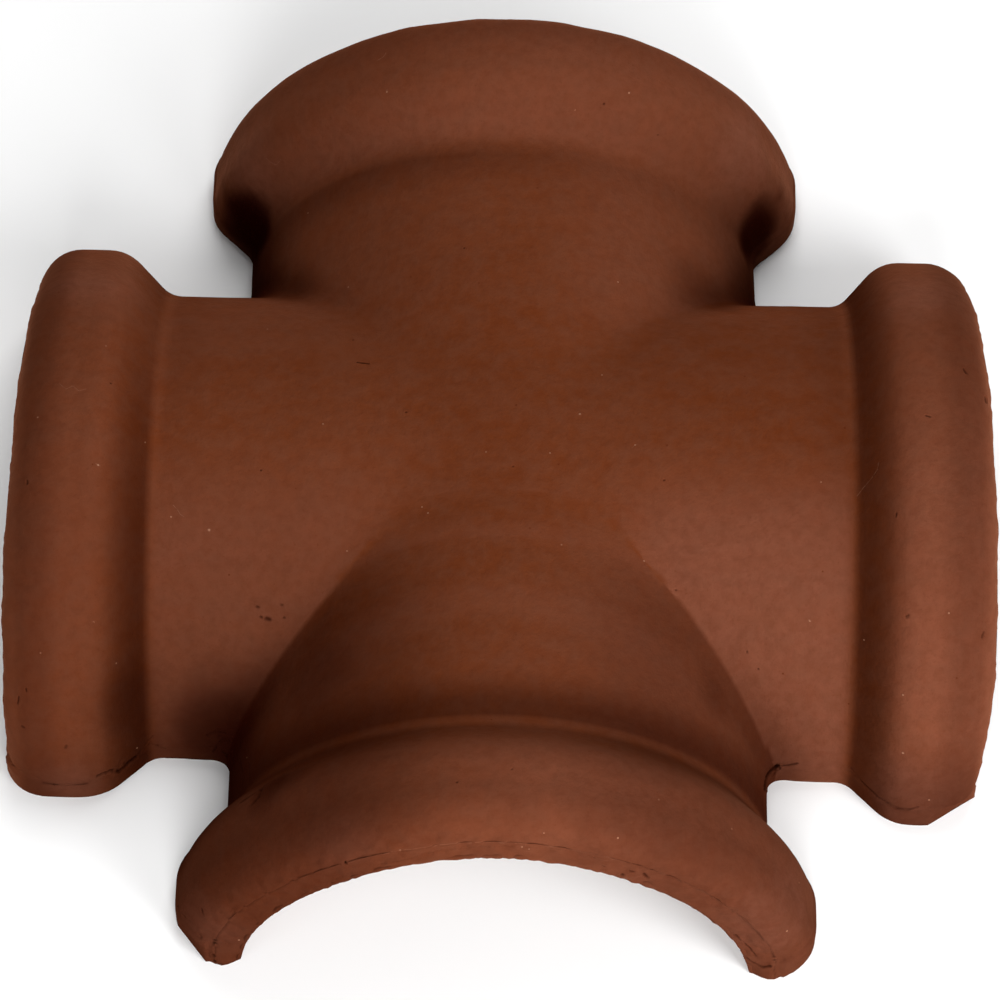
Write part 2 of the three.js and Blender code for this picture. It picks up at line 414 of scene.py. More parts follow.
def unevenness(points, normals):
    """How far each point of the shell is moved by lumps, the trimming knife and the mould's band."""
    outward = noise_at(points, LUMP_SIZE, LUMP_SEED) * LUMP_HEIGHT
    outward += noise_at(points, RIPPLE_SIZE, RIPPLE_SEED) * RIPPLE_HEIGHT
    move = normals * outward[:, None]

    to_mouth = REACH - np.max(np.abs(points[:, :2]), axis=1)
    trim = np.exp(-((np.minimum(to_mouth, points[:, 2] + TRIM_ZONE / 2) / TRIM_ZONE) ** 2))
    knife = noise_at(points, TRIM_SIZE, TRIM_SEED) * TRIM_HEIGHT
    nicks = np.exp(-((to_mouth / NICK_ZONE) ** 2)) * noise_at(points, NICK_SIZE, NICK_SEED) * NICK_HEIGHT
    nicks *= np.where(-points[:, 1] > np.abs(points[:, 0]), NICK_FRONT, 1)
    move += normals * (trim * knife + nicks)[:, None]

    level = normals.copy()
    level[:, 2] = 0
    level /= np.maximum(np.linalg.norm(level, axis=1), LEAST_LEAN)[:, None]
    plan = points * (1, 1, 0)
    line = BAND_LINE + noise_at(plan, BAND_WAVE_SIZE, BAND_SEED) * BAND_WAVE
    below = ease(line - points[:, 2], -BAND_SLOPE, BAND_SLOPE)
    on_outside = (depth(points, OUTSIDE) < WALL / 4) & (to_mouth > EDGE_ROUND / 2)
    strength = NOTCH_SHARE + NOTCH_VARIES * noise_at(plan, BAND_WAVE_SIZE / 2, NOTCH_SEED)
    notch = np.exp(-(((points[:, 2] - line - BAND_SLOPE) / NOTCH_WIDTH) ** 2)) * np.clip(strength, 0, 1)
    band = np.where(on_outside, BAND_STEP * below - NOTCH_DEPTH * notch, 0)
    return move + level * band[:, None]


# Marks seen in the photograph, placed by their pixels in its 1000 x 1000 frame. The sizes are in
# millimetres: half width, and depth below the surface (a negative depth stands proud).
PITS = (
    # x, y, length, half width, depth, turn in degrees
    (363, 363, 5.0, 0.7, 0.7, 8),
    (27, 482, 1.6, 0.7, 0.5, 90),
    (965, 371, 2.2, 0.8, 0.6, 60),
    (928, 416, 1.8, 0.7, 0.5, 20),
    (896, 515, 1.6, 0.6, 0.4, 100),
    (258, 607, 0.6, 1.0, 0.8, 10),
    (268, 619, 1.2, 1.4, 1.0, 30),
    (261, 617, 0.6, 0.9, 0.7, 30),
    (282, 605, 0.3, 0.9, 0.6, 0),
    (284, 618, 0.3, 0.8, 0.6, 0),
    (261, 470, 0.1, 0.6, 0.5, 0),
    (111, 383, 0.1, 0.6, 0.5, 0),
    (353, 340, 0.1, 0.6, 0.5, 0),
    (664, 480, 0.1, 0.6, 0.4, 0),
    (676, 590, 0.1, 0.6, 0.4, 0),
    (758, 669, 0.1, 0.6, 0.4, 0),
    (747, 652, 0.8, 0.6, 0.3, 90),
    (604, 104, 0.1, 0.7, 0.5, 0),
    (658, 135, 0.1, 0.6, 0.4, 0),
    (464, 248, 0.1, 0.6, 0.4, 0),
    (457, 782, 0.1, 0.7, 0.5, 0),
    (512, 769, 0.1, 0.6, 0.4, 0),
    (513, 466, 0.1, 0.6, 0.4, 0),
    (406, 412, 0.1, 0.7, 0.4, 0),
    (346, 863, 1.6, 0.6, 0.5, 60),
    (202, 911, 1.8, 0.9, 0.5, 80),
    (213, 955, 0.2, 0.9, 0.8, 0),
    (622, 875, 0.6, 1.0, 0.9, 0),
    (632, 872, 1.0, 1.3, 0.8, 20),
    (645, 876, 1.6, 1.5, 0.9, 50),
    (603, 866, 1.0, 0.8, 0.6, 10),
    (594, 858, 0.6, 0.7, 0.5, 10),
    (18, 700, 3.0, 0.7, 0.4, 100),
    (26, 690, 1.2, 0.6, 0.4, 80),
    (66, 747, 1.4, 0.8, 0.4, 120),
    (23, 727, 1.0, 0.8, 0.4, 30),
    (225, 753, 1.4, 1.4, 1.0, 90),
    (986, 400, 2.0, 1.2, 1.0, 90),
    (983, 635, 2.4, 0.9, 0.4, 110),
    (907, 616, 1.2, 1.0, 0.5, 140),
)
CREASES = (
    # points, half width, depth
    (((12, 764), (22, 770), (35, 776), (44, 782), (54, 784)), 0.5, 0.35),
    (((54, 784), (64, 786), (75, 785), (87, 783)), 0.6, 0.5),
    (((98, 776), (104, 773), (112, 770), (120, 771), (126, 766), (130, 761), (136, 757)), 1.1, 1.5),
    (((136, 757), (143, 748), (153, 736)), 0.6, 0.7),
    (((149, 744), (158, 745), (166, 749)), 0.5, 0.5),
    (((380, 864), (398, 861), (414, 857), (436, 851), (472, 847), (502, 846)), 0.4, 0.35),
    (((502, 846), (530, 847), (553, 848), (580, 853), (594, 857), (610, 863)), 0.4, 0.35),
    (((262, 926), (273, 918), (292, 903), (305, 893), (321, 884), (355, 872)), 0.4, 0.25),
    (((850, 768), (862, 781), (876, 795), (886, 802), (898, 808), (910, 809), (918, 807)), 0.6, 0.55),
    (((764, 788), (767, 779), (771, 771), (777, 766)), 1.3, 1.6),
    (((777, 766), (786, 765), (797, 763)), 0.6, 0.6),
    (((772, 776), (776, 772), (780, 768)), 0.8, 1.2),
    (((735, 935), (741, 941), (749, 948), (756, 956)), 0.7, 0.8),
    (((745, 957), (753, 963), (762, 967), (770, 966)), 0.7, 0.9),
    (((178, 905), (184, 915), (192, 922), (200, 935), (207, 950)), 0.6, 0.3),
    (((240, 803), (252, 795), (262, 788), (275, 779), (292, 770)), 1.2, 1.0),
    (((252, 803), (258, 797), (262, 788)), 1.6, 0.8),
    (((214, 752), (218, 744), (226, 738), (232, 742)), 0.8, 0.8),
    (((208, 735), (217, 731), (226, 733)), 0.7, 0.6),
    (((240, 760), (243, 772), (243, 784)), 0.6, 0.4),
    (((249, 764), (250, 776), (249, 786)), 0.5, 0.4),
)
SCRATCHES = (
    # points, half width, depth
    (((60, 384), (66, 389), (73, 386), (79, 391), (86, 389)), 0.3, 0.12),
    (((173, 505), (177, 509), (180, 514), (184, 517)), 0.3, 0.12),
    (((266, 158), (270, 162), (276, 165), (281, 160)), 0.3, 0.12),
    (((378, 60), (383, 57), (386, 53)), 0.35, 0.12),
    (((135, 273), (139, 275), (143, 275)), 0.25, 0.1),
    (((160, 301), (164, 303), (167, 304)), 0.25, 0.1),
    (((888, 309), (892, 311), (896, 312)), 0.25, 0.1),
    (((879, 462), (877, 470), (871, 479), (863, 488), (857, 496)), 0.3, 0.12),
    (((632, 448), (635, 445), (638, 444)), 0.25, 0.08),
)
SPECKS = (
    # x, y, half width
    (209, 530, 0.8), (98, 465, 0.6), (171, 517, 0.5), (323, 424, 0.5), (106, 346, 0.5), (308, 213, 0.5),
    (347, 551, 0.5), (821, 482, 0.5), (635, 445, 0.4), (618, 282, 0.5), (602, 375, 0.4), (644, 561, 0.5),
    (810, 621, 0.8), (864, 640, 0.5), (949, 613, 0.6), (903, 695, 0.6), (903, 753, 0.7), (629, 93, 0.7),
    (575, 110, 0.4), (387, 92, 0.5), (522, 847, 0.5), (529, 849, 0.4), (400, 850, 0.6), (137, 748, 0.7),
    (239, 940, 0.6), (929, 800, 0.5), (618, 838, 0.6), (787, 931, 0.6), (550, 453, 0.5),
    (580, 414, 0.6), (422, 507, 0.5), (428, 513, 0.5), (486, 452, 0.4), (94, 622, 0.4), (544, 833, 0.5),
)
# Rough places by their pixels, with their radius and height in millimetres
ROUGH_PATCHES = (
    (226, 744, 11.0, 0.9),
    (636, 873, 8.0, 0.6),
    (772, 774, 6.0, 1.0),
    (750, 951, 9.0, 0.7),
    (118, 768, 7.0, 0.5),
    (246, 790, 8.0, 0.6),
    (266, 935, 8.0, 0.7),
    (930, 806, 7.0, 0.4),
)
ROUGH_SIZE = 3.2
PATCH_FINENESS = 0.6
MARK_WAVER = 0.45
MARK_WAVER_SIZE = 1.4
# Longest edge near a mark, and how many such edges past the mark it is kept
MARK_LEVELS = ((3.6, 2.2), (1.8, 1.8), (0.9, 1.3), (0.45, 1.1), (0.22, 1.1))
MARK_FINENESS = 0.6
PATH_STEP = 0.3
MARK_SPREAD = 1.4
# How pale each kind of mark is, or below 0 how dark its painted shade is in pits and creases, and the
# pushed-up lip around it, in half widths
PIT_PAINTED_SHADE = -0.7
CREASE_PAINTED_SHADE = -0.7
CREASE_PAINTED_SHADE_LIMIT = -0.8
SCRATCH_TINT = 0.4
SPECK_TINT = 1.0
SPECK_LENGTH = 0.1
SPECK_DEPTH = -0.1
LIP_HEIGHT = 0.25
LIP_PLACE = 1.25
LIP_WIDTH = 0.3
LIP_END = 2.0
TEAR_STRETCH = (1, 1, 1.6)

# Straight cuts of the trimming knife, by two pixels on the ground, and their height
CUTS = (
    (930, 824, 975, 797, 11.0),
    (177, 925, 210, 967, 9.0),
)
CUT_REACH = 36.0
CUT_EDGE = 2.0


def pixel_ray(x, y):
    """Start and direction, in millimetres, of the line of sight through a pixel of the photograph."""
    camera = bpy.context.scene.camera
    across = (x - FRAME_SIZE / 2) / FRAME_SIZE * SENSOR_WIDTH / VIEW_LENS
    upward = (FRAME_SIZE / 2 - y) / FRAME_SIZE * SENSOR_WIDTH / VIEW_LENS
    direction = camera.matrix_world.to_3x3() @ Vector((across, upward, -1))
    return camera.matrix_world.translation / MM, direction.normalized()


def place_of(tree, x, y):
    """The point of the shell that a pixel of the photograph shows, or None past its outline."""
    point, *_ = tree.ray_cast(*pixel_ray(x, y))
    return point


def on_floor(x, y):
    """The point of the ground that a pixel of the photograph shows."""
    start, direction = pixel_ray(x, y)
    return np.array(start - direction * (start.z / direction.z))


def trim_feet(points):
    """The points with the feet cut off straight where the knife took them."""
    cut = points.copy()
    for x, y, next_x, next_y, top in CUTS:
        first, second = on_floor(x, y), on_floor(next_x, next_y)
        middle = (first + second) / 2
        outward = np.cross(second - first, (0, 0, 1))
        outward /= np.linalg.norm(outward) * np.sign(outward @ middle)
        near = np.linalg.norm(points - middle, axis=1) < CUT_REACH
        low = 1 - ease(cut[:, 2], top - CUT_EDGE, top + CUT_EDGE)
        past = np.maximum((cut - first) @ outward, 0) * near * low
        cut -= outward * past[:, None]
    return cut


def path_on(tree, pixels):
    """Points along a line drawn over pixels, no further apart than a step, on the shell."""
    found = [p for p in (place_of(tree, x, y) for x, y in pixels) if p is not None]
    points = []
    for a, b in zip(found, found[1:]):
        steps = max(math.ceil((b - a).length / PATH_STEP), 1)
        points += [a.lerp(b, i / steps) for i in range(steps)]
    return np.array(points + found[-1:])


def pit_path(tree, x, y, length, turn):
    """A short line on the shell through a pixel."""
    half = length / 2 / MM_PER_PIXEL
    dx, dy = half * math.cos(math.radians(turn)), half * math.sin(math.radians(turn))
    return path_on(tree, ((x - dx, y - dy), (x, y), (x + dx, y + dy)))


def list_marks(tree):
    """Every mark as (path, half width, depth, paleness, with painted shade below 0)."""
    marks = []
    for x, y, length, half_width, mark_depth, turn in PITS:
        marks.append((pit_path(tree, x, y, length, turn), half_width, mark_depth, PIT_PAINTED_SHADE))
    for pixels, half_width, mark_depth in CREASES:
        # Creases get painted shade, darker the deeper they are.
        shade_and_paleness = max(mark_depth * CREASE_PAINTED_SHADE, CREASE_PAINTED_SHADE_LIMIT)
        marks.append((path_on(tree, pixels), half_width, mark_depth, shade_and_paleness))
    for pixels, half_width, mark_depth in SCRATCHES:
        marks.append((path_on(tree, pixels), half_width, mark_depth, SCRATCH_TINT))
    for x, y, half_width in SPECKS:
        marks.append((pit_path(tree, x, y, SPECK_LENGTH, 0), half_width, SPECK_DEPTH, SPECK_TINT))
    return [mark for mark in marks if len(mark[0])]


def list_spots(tree, spots):
    """Every rough place, and every spot of painted shade or painted light, as (centre, radius, strength)."""
    places = [(place_of(tree, x, y), radius, strength) for x, y, radius, strength in spots]
    return [(np.array(place), radius, strength) for place, radius, strength in places if place is not None]


def distance_to(path, points, reach):
    """Indices of the points within reach of a path, and their distances."""
    near = np.all((points > path.min(0) - reach) & (points < path.max(0) + reach), axis=1)
    index = np.nonzero(near)[0]
    gaps = np.linalg.norm(points[index, None] - path[None], axis=2).min(1)
    close = gaps < reach
    return index[close], gaps[close]


def refine_near(points, triangles, marks, patches):
    """Splits the edges around the marks until they are short enough to carry them."""
    for longest, margin in MARK_LEVELS:
        chosen = np.zeros(len(points), bool)
        for path, half_width, *_ in marks:
            if longest > half_width * MARK_FINENESS:
                reach = half_width * MARK_SPREAD + longest * margin
                chosen[distance_to(path, points, reach)[0]] = True
        for centre, radius, _ in patches:
            if longest > PATCH_FINENESS:
                chosen[distance_to(centre[None], points, radius + longest)[0]] = True
        points, triangles = split_long(points, triangles, chosen, longest)
    return points, triangles


def press_marks(points, normals, marks):
    """The points with the marks pressed in, and how pale each mark leaves them, with painted shade in pits
    and creases below 0.
    """
    moved, shade_and_paleness = points.copy(), np.zeros(len(points))
    for path, half_width, mark_depth, paleness_and_painted_shade in marks:
        index, gaps = distance_to(path, points, half_width * LIP_END)
        waver = 1 + MARK_WAVER * noise_at(points[index], MARK_WAVER_SIZE, MARK_SEED)
        share = gaps / half_width * waver
        bowl = np.where(share < 1, (1 - np.minimum(share, 1) ** 2) ** 2, 0)
        lip = LIP_HEIGHT * np.exp(-(((share - LIP_PLACE) / LIP_WIDTH) ** 2))
        moved[index] -= normals[index] * (mark_depth * (bowl - lip))[:, None]
        # Positive for pale specks and scratches, negative for painted shade in pits and creases.
        shade_and_paleness[index] += paleness_and_painted_shade * bowl
    return moved, np.clip(shade_and_paleness, -1, 1)


def roughen(points, normals, patches):
    """The points with the torn and dragged clay of the rough patches."""
    moved = points.copy()
    for centre, radius, height in patches:
        index, gaps = distance_to(centre[None], points, radius)
        tear = noise_at(points[index] * TEAR_STRETCH, ROUGH_SIZE, TEAR_SEED)
        moved[index] += normals[index] * (tear * height * (1 - (gaps / radius) ** 2))[:, None]
    return moved


# Painted shade on each arm, as the natural logarithm of how much darker it is, where it lies in
# shade; painted light is the share of paler slip painted where the arm is lit most. Left and
# right are as seen walking out along the arm. Flank is the collar's inner slope, behind is the
# barrel next to the collar, foot is low down beside the collar, rim is at the mouth, and side is
# the barrel's own flank.
ARM_PAINTED_LIGHT_AND_SHADE = {
    "right": {
        "flank": (0.9, 0.7), "behind": (0.15, 0.0), "foot": (0.2, 0.0), "rim": 0.35, "side": (0.0, 0.0),
        "painted_light_barrel": (0.0, 0.85), "painted_light_collar": (0.35, 0.7), "painted_light_flank": 0.0,
    },
    "back": {
        "flank": (0.0, 0.0), "behind": (0.4, 0.1), "foot": (0.5, 0.4), "rim": 0.2, "side": (0.1, 0.0),
        "painted_light_barrel": (0.1, 0.35), "painted_light_collar": (0.25, 0.5), "painted_light_flank": 0.5,
    },
    "left": {
        "flank": (0.95, 0.3), "behind": (0.0, 0.1), "foot": (0.1, 0.2), "rim": 0.4, "side": (0.1, 0.0),
        "painted_light_barrel": (0.55, 0.1), "painted_light_collar": (0.3, 0.25), "painted_light_flank": 0.0,
    },
    "front": {
        "flank": (0.3, 0.45), "behind": (0.85, 0.7), "foot": (0.1, 0.6), "rim": 0.1, "side": (0.5, 0.8),
        "painted_light_barrel": (0.3, 0.0), "painted_light_collar": (0.6, 0.3), "painted_light_flank": 0.0,
    },
}
# Signs of x and y, and how much painted shade the valley and the hollow at its foot get
CORNER_PAINTED_SHADES = (
    (1, 1, 1.3, 2.0),
    (-1, 1, 0.9, 1.9),
    (-1, -1, 0.6, 1.8),
    (1, -1, 0.5, 0.4),
)
# Painted shade in dark spots, by their pixels in the photograph, with their radius in millimetres
PAINTED_SHADE_POOLS = (
    # x, y, radius, painted shade
    (252, 227, 25.0, 4.5),
    (757, 231, 19.0, 4.0),
    (300, 290, 21.0, 0.35),
    (700, 292, 27.0, 0.4),
    (121, 702, 25.0, 0.45),
    (212, 715, 26.0, 0.6),
    (318, 672, 28.0, 0.4),
    (714, 694, 15.0, 0.3),
    (268, 789, 14.0, 0.7),
    (290, 778, 13.0, 0.4),
    (500, 852, 30.0, 0.3),
    (440, 856, 22.0, 0.15),
    (575, 858, 22.0, 0.25),
)
PAINTED_SPOT_CORE = 0.1
PAINTED_SPOT_WAVER = 0.4
PAINTED_SPOT_WAVER_SIZE = 13.0
# Painted light, as paler places, in the same way
PAINTED_LIGHT_PLACES = (
    # x, y, radius, painted light
    (908, 802, 26.0, 0.8),
    (70, 786, 20.0, 0.7),
    (775, 925, 36.0, 0.6),
    (212, 930, 30.0, 0.6),
    (345, 850, 22.0, 0.4),
    (245, 165, 26.0, 0.6),
    (745, 150, 30.0, 0.5),
    (90, 285, 30.0, 0.6),
    (925, 295, 30.0, 0.6),
)
VALLEY_SHADE_WIDTH = 9.0
VALLEY_SHADE_HEIGHT = (15, 92)
PIT_SHADE_WIDTH = 32.0
PIT_SHADE_HEIGHT = (8, 66)
# Where the painted shades and the painted light start, are full, fade and are gone, past the collar's root
FLANK_SHADE = (4, 8, 8, 27)
BEHIND_SHADE = (-24, -1, -1, 3)
FOOT_SHADE = (-2, 3, 14, 38)
COLLAR_PAINTED_LIGHT = (12, 30)
FLANK_PAINTED_LIGHT = (0, 10)
BARREL_PAINTED_LIGHT_FADES = (0, 7)
# The same from the mouth, along the arm, across it and above the ground
RIM_SHADE = (-26, -12, -7, -1)
SIDE_SHADE_ALONG = (40, 90)
SIDE_SHADE_ACROSS = (10, 75)
BARREL_PAINTED_LIGHT_ALONG = (30, 80)
BARREL_PAINTED_LIGHT_ACROSS = (5, 60)
FOOT_SHADE_HEIGHT = (15, 65)
SIDE_BLEND = 60


def hump(value, start, full, fades, gone):
    """A share that rises from 0 to 1 and falls again."""
    return ease(value, start, full) * (1 - ease(value, fades, gone))


def arm_painted_light_and_shade(along, across, height, own, light_and_shade):
    """Painted shade and painted light of one arm at places along it, across it and above its foot."""
    past_root = along - (REACH - COLLAR_LENGTH)
    left = ease(across, -SIDE_BLEND, SIDE_BLEND)

    def sided(name):
        return light_and_shade[name][0] * left + light_and_shade[name][1] * (1 - left)

    # Painted shade beside and on the collar, at the mouth and on the barrel's flanks.
    foot = (1 - ease(height, *FOOT_SHADE_HEIGHT)) * hump(past_root, *FOOT_SHADE)
    side = own * ease(along, *SIDE_SHADE_ALONG)
    shade = light_and_shade["rim"] * hump(along - REACH, *RIM_SHADE)
    shade = shade + hump(past_root, *FLANK_SHADE) * sided("flank")
    shade = shade + hump(past_root, *BEHIND_SHADE) * sided("behind")
    shade = shade + foot * np.where(across > 0, *light_and_shade["foot"])
    shade = shade + side * light_and_shade["side"][0] * ease(across, *SIDE_SHADE_ACROSS)
    shade = shade + side * light_and_shade["side"][1] * ease(-across, *SIDE_SHADE_ACROSS)

    # Painted light: paler slip where the collar and the barrel are lit most.
    collar = ease(past_root, *COLLAR_PAINTED_LIGHT)
    barrel = own * ease(along, *BARREL_PAINTED_LIGHT_ALONG) * (1 - ease(past_root, *BARREL_PAINTED_LIGHT_FADES))
    sides = ease(np.abs(across), *BARREL_PAINTED_LIGHT_ACROSS)
    painted_light = collar * sided("painted_light_collar")
    painted_light = painted_light + light_and_shade["painted_light_flank"] * ease(past_root, *FLANK_PAINTED_LIGHT) * (1 - collar)
    painted_light = painted_light + barrel * sides * np.where(across > 0, *light_and_shade["painted_light_barrel"])
    return shade, painted_light


def painted_light_and_shade(points, painted_shade_spots, painted_light_spots):
    """How much of the slip's colour the painted shade hides, and how much paler slip the painted light shows,
    each from 0 to 1.
    """
    x, y, height = points.T
    along_x = outside_radius(x) - np.hypot(y, height + AXIS_DROP)
    along_y = outside_radius(y) - np.hypot(x, height + AXIS_DROP)
    shade, painted_light = np.zeros(len(points)), np.zeros(len(points))
    for name, light_and_shade in ARM_PAINTED_LIGHT_AND_SHADE.items():
        turns = ARM_SETTLING[name]["turns"]
        own = (along_y > along_x) if turns % 2 else (along_x > along_y)
        local = quarter_turn(points, -turns)
        arm = arm_painted_light_and_shade(*local.T, own, light_and_shade)
        shade, painted_light = shade + arm[0], painted_light + arm[1]
    gap = along_x - along_y
    # Painted shade down each valley and in the hollow at its foot.
    for side_x, side_y, valley, pit in CORNER_PAINTED_SHADES:
        here = (x * side_x > 0) & (y * side_y > 0)
        low, deep = 1 - ease(height, *VALLEY_SHADE_HEIGHT), 1 - ease(height, *PIT_SHADE_HEIGHT)
        shade += here * valley * np.exp(-((gap / VALLEY_SHADE_WIDTH) ** 2)) * low
        shade += here * pit * np.exp(-((gap / PIT_SHADE_WIDTH) ** 2)) * deep
    # Painted shade in dark spots, and painted light as paler places.
    waver = 1 + PAINTED_SPOT_WAVER * noise_at(points, PAINTED_SPOT_WAVER_SIZE, PAINTED_SPOT_SEED)
    for centre, radius, shade_amount in painted_shade_spots:
        gaps = np.linalg.norm(points - centre, axis=1) * waver
        shade += shade_amount * (1 - ease(gaps, radius * PAINTED_SPOT_CORE, radius))
    for centre, radius, light_amount in painted_light_spots:
        gaps = np.linalg.norm(points - centre, axis=1) * waver
        painted_light += light_amount * (1 - ease(gaps, radius * PAINTED_SPOT_CORE, radius))
    return 1 - np.exp(-shade), np.clip(painted_light, 0, 1)


def refine_mouths(points, triangles):
    """Splits long edges beside the mouths, so that they carry the nicks of the trimming knife."""
    to_mouth = REACH - np.max(np.abs(points[:, :2]), axis=1)
    return split_long(points, triangles, (to_mouth < NICK_ZONE) & (points[:, 2] > 0), EDGE_FINENESS)


def on_ground(points):
    """The points with none below the ground."""
    return np.maximum(points, (-np.inf, -np.inf, 0))


# Where raw clay shows below, as shares of the wall and as distances from the mouth, and the front
# arm's stretch that shows the strokes of wiping
RAW_DEPTH = (0.2, 0.9)
RAW_FROM_MOUTH = (1, 9)
TONGUE_STRETCH = (5, 40, 100, 145)


def coats_and_painted_light(points, painted_shade_spots, painted_light_spots):
    """The slip's coats, and its painted shade and painted light, at each point, as named values from 0 to 1.
    """
    # Painted shade and painted light, from 0 to 1.
    hollow, painted_light = painted_light_and_shade(points, painted_shade_spots, painted_light_spots)
    below_outside = np.maximum(depth(points, OUTSIDE), 0)
    above_inside = np.maximum(-depth(points, INSIDE), 0)
    underside = ease(below_outside / (below_outside + above_inside + MM), *RAW_DEPTH)
    underside *= ease(REACH - np.max(np.abs(points[:, :2]), axis=1), *RAW_FROM_MOUTH)
    forward = -points[:, 1]
    tongue = (forward > np.abs(points[:, 0])) * hump(forward, *TONGUE_STRETCH)
    return {"hollow": hollow, "painted_light": painted_light, "underside": underside, "tongue": tongue}


def make_tile():
    points, triangles = refine_mouths(*shell_mesh())
    points = settle(points + unevenness(points, normals_of(points, triangles)))
    points = on_ground(trim_feet(points))
    tree = BVHTree.FromPolygons(points.tolist(), triangles.tolist())
    marks, patches = list_marks(tree), list_spots(tree, ROUGH_PATCHES)
    points, triangles = refine_near(points, triangles, marks, patches)
    # Painted shade and painted light go on the mesh as attributes, with the slip's real coats.
    coat_and_light_values = coats_and_painted_light(points, list_spots(tree, PAINTED_SHADE_POOLS), list_spots(tree, PAINTED_LIGHT_PLACES))
    normals = normals_of(points, triangles)
    points, coat_and_light_values["mark"] = press_marks(roughen(points, normals, patches), normals, marks)

    mesh = bpy.data.meshes.new("ridge_tile_shell")
    mesh.from_pydata((on_ground(points) * MM).tolist(), [], triangles.tolist())
    for name, values in coat_and_light_values.items():
        mesh.attributes.new(name, "FLOAT", "POINT").data.foreach_set("value", values.astype(np.float32))
    mesh.shade_smooth()
    tile = bpy.data.objects.new("ridge_tile_shell", mesh)
    bpy.context.scene.collection.objects.link(tile)
    return tile


# Settings of the nodes below, and the places of a Mix node's colour sockets
DOT_CORE = 0.6
RING_DETAIL = 3.0
MIX_SHARE, MIX_FIRST, MIX_SECOND, MIX_RESULT = 0, 6, 7, 2


class Nodes:
    """Short names for building a material's nodes."""

    def __init__(self, material):
        material.use_nodes = True
        self.tree = material.node_tree
        self.shader = self.tree.nodes["Principled BSDF"]
        self.place = self.tree.nodes.new("ShaderNodeTexCoord").outputs["Object"]

    def link(self, source, target):
        if isinstance(source, bpy.types.NodeSocket):
            self.tree.links.new(source, target)
        else:
            target.default_value = source

    def attribute(self, name):
        node = self.tree.nodes.new("ShaderNodeAttribute")
        node.attribute_name = name
        return node.outputs["Fac"]

    def noise(self, scale, detail, roughness, stretch=(1, 1, 1), turn=(0, 0, 0)):
        mapping = self.tree.nodes.new("ShaderNodeMapping")
        mapping.inputs["Scale"].default_value = stretch
        mapping.inputs["Rotation"].default_value = turn
        self.link(self.place, mapping.inputs["Vector"])
        node = self.tree.nodes.new("ShaderNodeTexNoise")
        node.inputs["Scale"].default_value = scale
        node.inputs["Detail"].default_value = detail
        node.inputs["Roughness"].default_value = roughness
        self.link(mapping.outputs["Vector"], node.inputs["Vector"])
        return node.outputs["Fac"]

    def cells(self, scale, output="Distance"):
        node = self.tree.nodes.new("ShaderNodeTexVoronoi")
        node.inputs["Scale"].default_value = scale
        self.link(self.place, node.inputs["Vector"])
        return node.outputs[output]

    def dots(self, scale, radius, rarity):
        """Small round dots in some of the cells."""
        inside = self.ranged(self.cells(scale), radius, radius * DOT_CORE)
        chosen = self.math("GREATER_THAN", self.cells(scale, "Color"), rarity)
        return self.math("MULTIPLY", inside, chosen)

    def rings(self, centre, scale):
        """Noise that runs in rings around a centre."""
        offset = self.tree.nodes.new("ShaderNodeVectorMath")
        offset.operation = "DISTANCE"
        self.link(self.place, offset.inputs[0])
        offset.inputs[1].default_value = centre
        node = self.tree.nodes.new("ShaderNodeTexNoise")
        node.noise_dimensions = "1D"
        node.inputs["Scale"].default_value = scale
        node.inputs["Detail"].default_value = RING_DETAIL
        self.link(offset.outputs["Value"], node.inputs["W"])
        return node.outputs["Fac"]

    def ranged(self, value, low, high, to_low=0.0, to_high=1.0):
        node = self.tree.nodes.new("ShaderNodeMapRange")
        self.link(value, node.inputs["Value"])
        for name, number in (("From Min", low), ("From Max", high), ("To Min", to_low), ("To Max", to_high)):
            node.inputs[name].default_value = number
        return node.outputs["Result"]

    def math(self, operation, first, second):
        node = self.tree.nodes.new("ShaderNodeMath")
        node.operation = operation
        self.link(first, node.inputs[0])
        self.link(second, node.inputs[1])
        return node.outputs[0]

    def mix(self, share, first, second):
        node = self.tree.nodes.new("ShaderNodeMix")
        node.data_type = "RGBA"
        self.link(share, node.inputs[MIX_SHARE])
        self.link(first, node.inputs[MIX_FIRST])
        self.link(second, node.inputs[MIX_SECOND])
        return node.outputs[MIX_RESULT]

    def bump(self, height, distance, strength, below=None):
        node = self.tree.nodes.new("ShaderNodeBump")
        node.inputs["Distance"].default_value = distance
        node.inputs["Strength"].default_value = strength
        self.link(height, node.inputs["Height"])
        if below is not None:
            self.link(below, node.inputs["Normal"])
        return node.outputs["Normal"]


# Colours of the slip and the clay, in linear light
SLIP = (0.099, 0.0225, 0.0066, 1)
SLIP_WORN = (0.116, 0.0328, 0.0143, 1)
# Paler slip, for the wiping strokes and as painted light
SLIP_THIN_AND_PAINTED_LIGHT = (0.149, 0.0514, 0.0295, 1)
# Painted shade
SLIP_PAINTED_SHADE = (0.010, 0.0005, 0.0001, 1)
SLIP_GREYED = (0.100, 0.034, 0.0177, 1)
RAW_CLAY = (0.136, 0.043, 0.0186, 1)
SLIP_SHADED = (0.061, 0.010, 0.0021, 1)
# Painted shade in pits and creases
PIT_PAINTED_SHADE_COLOUR = (0.016, 0.0025, 0.0007, 1)
SPECK_PALE = (0.25, 0.12, 0.073, 1)
SHEEN_TINT = (1.0, 0.42, 0.24, 1)
SHEEN = 0.14
SHEEN_GONE = 0.6
SHEEN_ROUGHNESS = 0.35
ROUGHNESS = 0.7
SPECULAR = 0.0
